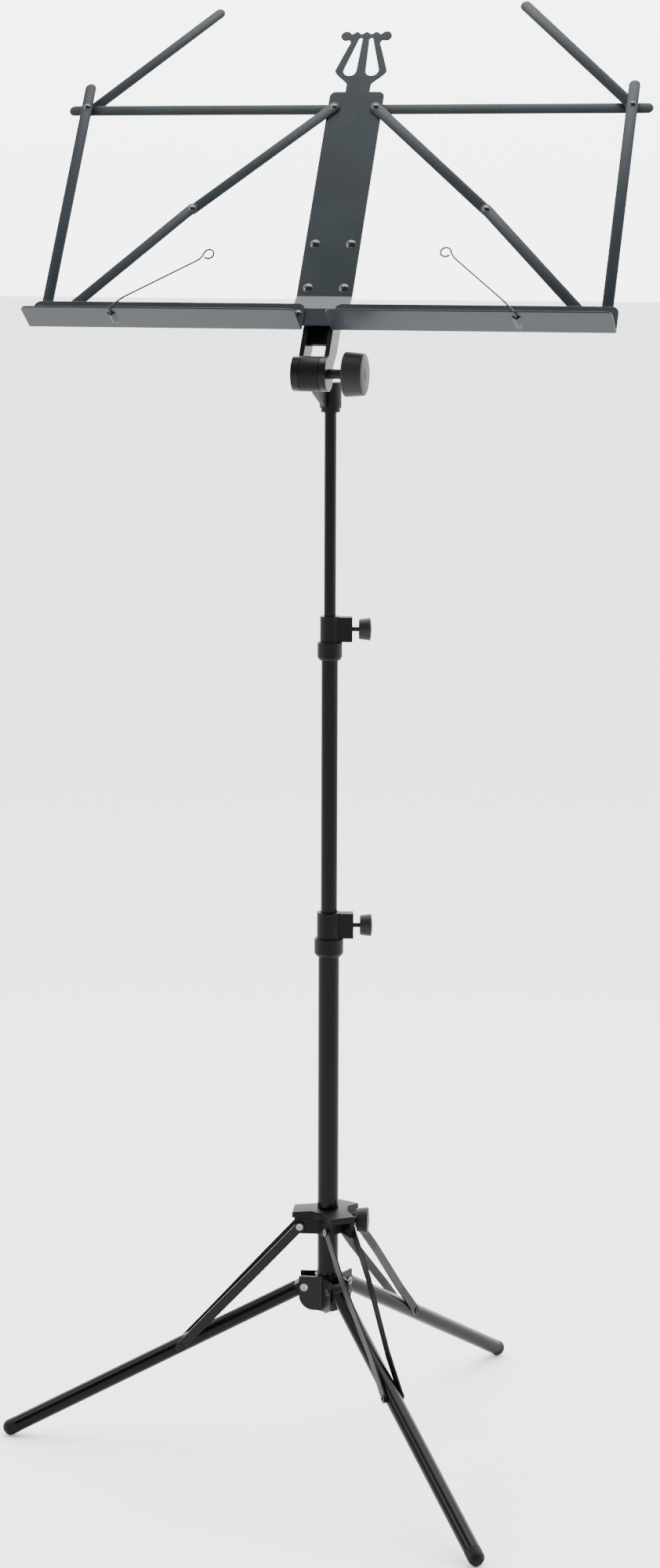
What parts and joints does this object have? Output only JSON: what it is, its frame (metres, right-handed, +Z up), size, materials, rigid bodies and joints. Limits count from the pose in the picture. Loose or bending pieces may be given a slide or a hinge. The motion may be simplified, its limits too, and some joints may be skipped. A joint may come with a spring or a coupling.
{
  "type": "music stand",
  "caption": "Folding music stand: a telescopic round pole on a fold-up tripod carries a leaning open-frame desk with a shelf, book arms and page clips.",
  "frame": {"origin": "the point on the floor under the middle of the pole", "axes": "+Z up along the pole, +X to the right along the desk as the player sees it, and -Y towards the player"},
  "size_m": [0.532, 0.4921, 1.236],
  "materials": {
    "tube_black": "glossy black coat",
    "desk_steel": "satin dark slate coat",
    "plastic_black": "fine matte moulded plastic",
    "knob_plastic": "satin moulded plastic",
    "hub_steel": "satin black coat on pressed steel",
    "rivet_steel": "dark nickel",
    "eyelet_steel": "bright nickel",
    "wire_steel": "blackened spring wire",
    "foot_rubber": "smooth rubber",
    "bush_plastic": "natural nylon"
  },
  "bodies": {
    "base": {"lower_hub": "hub_steel", "leg_pivot_pins": "eyelet_steel", "lower_tube": "tube_black", "lower_collar": "plastic_black", "lower_clamp": "plastic_black", "lower_brake_pad": "bush_plastic"},
    "leg_1": {"leg_tube_1": "tube_black", "leg_end_1": "plastic_black", "foot_cap_1": "foot_rubber"},
    "leg_2": {"leg_tube_2": "tube_black", "leg_end_2": "plastic_black", "foot_cap_2": "foot_rubber"},
    "leg_3": {"leg_tube_3": "tube_black", "leg_end_3": "plastic_black", "foot_cap_3": "foot_rubber"},
    "slider": {"slider_body": "plastic_black", "slider_cap": "plastic_black", "slider_pins": "eyelet_steel"},
    "hub_knob": {"hub_knob": "knob_plastic"},
    "strut_1": {"strut_pair_1": "hub_steel"},
    "strut_2": {"strut_pair_2": "hub_steel"},
    "strut_3": {"strut_pair_3": "hub_steel"},
    "lower_clamp_knob": {"lower_clamp_knob": "knob_plastic"},
    "middle": {"middle_tube": "tube_black", "middle_bush": "bush_plastic", "upper_collar": "plastic_black", "upper_clamp": "plastic_black", "upper_brake_pad": "bush_plastic"},
    "upper_clamp_knob": {"upper_clamp_knob": "knob_plastic"},
    "upper_slide": {"upper_bush": "bush_plastic"},
    "mast": {"upper_tube": "tube_black", "pole_head": "plastic_black"},
    "desk": {"tilt_fork": "hub_steel", "tilt_washers": "rivet_steel", "tilt_nut": "plastic_black", "centre_plate": "desk_steel", "plate_rivets": "rivet_steel", "desk_pivots": "rivet_steel"},
    "tilt_knob": {"tilt_knob": "knob_plastic"},
    "left_wing": {"left_wing": "desk_steel", "left_wing_pivots": "rivet_steel"},
    "left_side_bar": {"left_side_bar": "desk_steel", "left_corner_pivot": "rivet_steel"},
    "left_top_bar": {"left_top_bar": "desk_steel"},
    "left_upper_diagonal": {"left_upper_diagonal": "desk_steel", "left_elbow_pivot": "rivet_steel"},
    "left_lower_diagonal": {"left_lower_diagonal": "desk_steel"},
    "left_book_arm": {"left_book_arm": "desk_steel"},
    "left_page_clip": {"left_page_clip": "wire_steel"},
    "right_wing": {"right_wing": "desk_steel", "right_wing_pivots": "rivet_steel"},
    "right_side_bar": {"right_side_bar": "desk_steel", "right_corner_pivot": "rivet_steel"},
    "right_top_bar": {"right_top_bar": "desk_steel"},
    "right_upper_diagonal": {"right_upper_diagonal": "desk_steel", "right_elbow_pivot": "rivet_steel"},
    "right_lower_diagonal": {"right_lower_diagonal": "desk_steel"},
    "right_book_arm": {"right_book_arm": "desk_steel"},
    "right_page_clip": {"right_page_clip": "wire_steel"}
  },
  "joints": [
    {"name": "slider_slide", "type": "slide", "parent": "base", "child": "slider", "axis": [0, 0, 1], "range_m": [0, 0.2217]},
    {"name": "leg_1_fold", "type": "hinge", "parent": "base", "child": "leg_1", "pos_m": [-0.01946, -0.00308, 0.14686], "axis": [-0.1564, 0.9877, 0], "range_deg": [0, 114]},
    {"name": "strut_1_fold", "type": "hinge", "parent": "slider", "child": "strut_1", "pos_m": [-0.02301, -0.00364, 0.20216], "axis": [-0.1564, 0.9877, 0], "range_deg": [-40.6, 0]},
    {"name": "leg_2_fold", "type": "hinge", "parent": "base", "child": "leg_2", "pos_m": [0.0124, -0.01531, 0.14686], "axis": [-0.7771, -0.6293, 0], "range_deg": [0, 114]},
    {"name": "strut_2_fold", "type": "hinge", "parent": "slider", "child": "strut_2", "pos_m": [0.01466, -0.01811, 0.20216], "axis": [-0.7771, -0.6293, 0], "range_deg": [-40.6, 0]},
    {"name": "leg_3_fold", "type": "hinge", "parent": "base", "child": "leg_3", "pos_m": [0.00706, 0.01839, 0.14686], "axis": [0.9336, -0.3584, 0], "range_deg": [0, 114]},
    {"name": "strut_3_fold", "type": "hinge", "parent": "slider", "child": "strut_3", "pos_m": [0.00835, 0.02175, 0.20216], "axis": [0.9336, -0.3584, 0], "range_deg": [-40.6, 0]},
    {"name": "hub_knob_turn", "type": "hinge", "parent": "slider", "child": "hub_knob", "pos_m": [0.02963, 0.00469, 0.20576], "axis": [0.9877, 0.1564, 0], "range_deg": [-170, 170]},
    {"name": "lower_clamp_turn", "type": "hinge", "parent": "base", "child": "lower_clamp_knob", "pos_m": [0.02911, 0.00726, 0.46511], "axis": [0.9703, 0.2419, 0], "range_deg": [-170, 170]},
    {"name": "middle_slide", "type": "slide", "parent": "base", "child": "middle", "axis": [0, 0, 1], "range_m": [-0.214, 0]},
    {"name": "upper_clamp_turn", "type": "hinge", "parent": "middle", "child": "upper_clamp_knob", "pos_m": [0.02911, 0.00726, 0.71771], "axis": [0.9703, 0.2419, 0], "range_deg": [-170, 170]},
    {"name": "upper_slide_slide", "type": "slide", "parent": "middle", "child": "upper_slide", "axis": [0, 0, 1], "range_m": [-0.168, 0]},
    {"name": "mast_turn", "type": "hinge", "parent": "upper_slide", "child": "mast", "pos_m": [0, 0, 0.65086], "axis": [0, 0, 1], "range_deg": [-170, 170]},
    {"name": "desk_tilt", "type": "hinge", "parent": "mast", "child": "desk", "pos_m": [-0.003, -0.052, 0.93146], "axis": [-1, 0, 0], "range_deg": [-34, 41]},
    {"name": "tilt_knob_turn", "type": "hinge", "parent": "desk", "child": "tilt_knob", "pos_m": [0.027, -0.052, 0.93146], "axis": [1, 0, 0], "range_deg": [-170, 170]},
    {"name": "right_wing_fold", "type": "hinge", "parent": "desk", "child": "right_wing", "pos_m": [0.0148, -0.02259, 0.97507], "axis": [0, -0.829, 0.5592], "range_deg": [0, 87]},
    {"name": "right_side_bar_fold", "type": "hinge", "parent": "right_wing", "child": "right_side_bar", "pos_m": [0.232, -0.02259, 0.97507], "axis": [0, -0.829, 0.5592], "range_deg": [-87, 0]},
    {"name": "right_top_bar_fold", "type": "hinge", "parent": "desk", "child": "right_top_bar", "pos_m": [0.0148, 0.09317, 1.14668], "axis": [0, -0.829, 0.5592], "range_deg": [0, 87]},
    {"name": "right_upper_diagonal_fold", "type": "hinge", "parent": "desk", "child": "right_upper_diagonal", "pos_m": [0.0148, 0.09317, 1.14668], "axis": [0, -0.829, 0.5592], "range_deg": [-43.3, 0]},
    {"name": "right_lower_diagonal_fold", "type": "hinge", "parent": "right_upper_diagonal", "child": "right_lower_diagonal", "pos_m": [0.122, 0.03557, 1.06129], "axis": [0, -0.829, 0.5592], "range_deg": [0, 180]},
    {"name": "right_book_arm_turn", "type": "hinge", "parent": "right_side_bar", "child": "right_book_arm", "pos_m": [0.232, 0.09317, 1.14668], "axis": [0, 0.829, -0.5592], "range_deg": [-40, 120]},
    {"name": "right_page_clip_turn", "type": "hinge", "parent": "right_wing", "child": "right_page_clip", "pos_m": [0.165, -0.05016, 0.97352], "axis": [0, 0.829, -0.5592], "range_deg": [-15, 100]},
    {"name": "left_wing_fold", "type": "hinge", "parent": "desk", "child": "left_wing", "pos_m": [-0.0208, -0.02259, 0.97507], "axis": [0, 0.829, -0.5592], "range_deg": [0, 87]},
    {"name": "left_side_bar_fold", "type": "hinge", "parent": "left_wing", "child": "left_side_bar", "pos_m": [-0.238, -0.02259, 0.97507], "axis": [0, 0.829, -0.5592], "range_deg": [-87, 0]},
    {"name": "left_top_bar_fold", "type": "hinge", "parent": "desk", "child": "left_top_bar", "pos_m": [-0.0208, 0.09317, 1.14668], "axis": [0, 0.829, -0.5592], "range_deg": [0, 87]},
    {"name": "left_upper_diagonal_fold", "type": "hinge", "parent": "desk", "child": "left_upper_diagonal", "pos_m": [-0.0208, 0.09317, 1.14668], "axis": [0, 0.829, -0.5592], "range_deg": [-43.3, 0]},
    {"name": "left_lower_diagonal_fold", "type": "hinge", "parent": "left_upper_diagonal", "child": "left_lower_diagonal", "pos_m": [-0.128, 0.03557, 1.06129], "axis": [0, 0.829, -0.5592], "range_deg": [0, 180]},
    {"name": "left_book_arm_turn", "type": "hinge", "parent": "left_side_bar", "child": "left_book_arm", "pos_m": [-0.238, 0.09317, 1.14668], "axis": [0, -0.829, 0.5592], "range_deg": [-40, 120]},
    {"name": "left_page_clip_turn", "type": "hinge", "parent": "left_wing", "child": "left_page_clip", "pos_m": [-0.171, -0.05016, 0.97352], "axis": [0, -0.829, 0.5592], "range_deg": [-15, 100]}
  ],
  "couplings": [
    {"joint": "leg_1_fold", "follows": "slider_slide", "rad_per_m": 8.972},
    {"joint": "strut_1_fold", "follows": "slider_slide", "rad_per_m": -3.193},
    {"joint": "leg_2_fold", "follows": "slider_slide", "rad_per_m": 8.972},
    {"joint": "strut_2_fold", "follows": "slider_slide", "rad_per_m": -3.193},
    {"joint": "leg_3_fold", "follows": "slider_slide", "rad_per_m": 8.972},
    {"joint": "strut_3_fold", "follows": "slider_slide", "rad_per_m": -3.193},
    {"joint": "right_side_bar_fold", "follows": "right_wing_fold", "ratio": -1},
    {"joint": "right_top_bar_fold", "follows": "right_wing_fold", "ratio": 1},
    {"joint": "right_upper_diagonal_fold", "follows": "right_wing_fold", "ratio": -0.49655},
    {"joint": "right_lower_diagonal_fold", "follows": "right_wing_fold", "ratio": 2.0682},
    {"joint": "left_side_bar_fold", "follows": "left_wing_fold", "ratio": -1},
    {"joint": "left_top_bar_fold", "follows": "left_wing_fold", "ratio": 1},
    {"joint": "left_upper_diagonal_fold", "follows": "left_wing_fold", "ratio": -0.49655},
    {"joint": "left_lower_diagonal_fold", "follows": "left_wing_fold", "ratio": 2.0682}
  ]
}
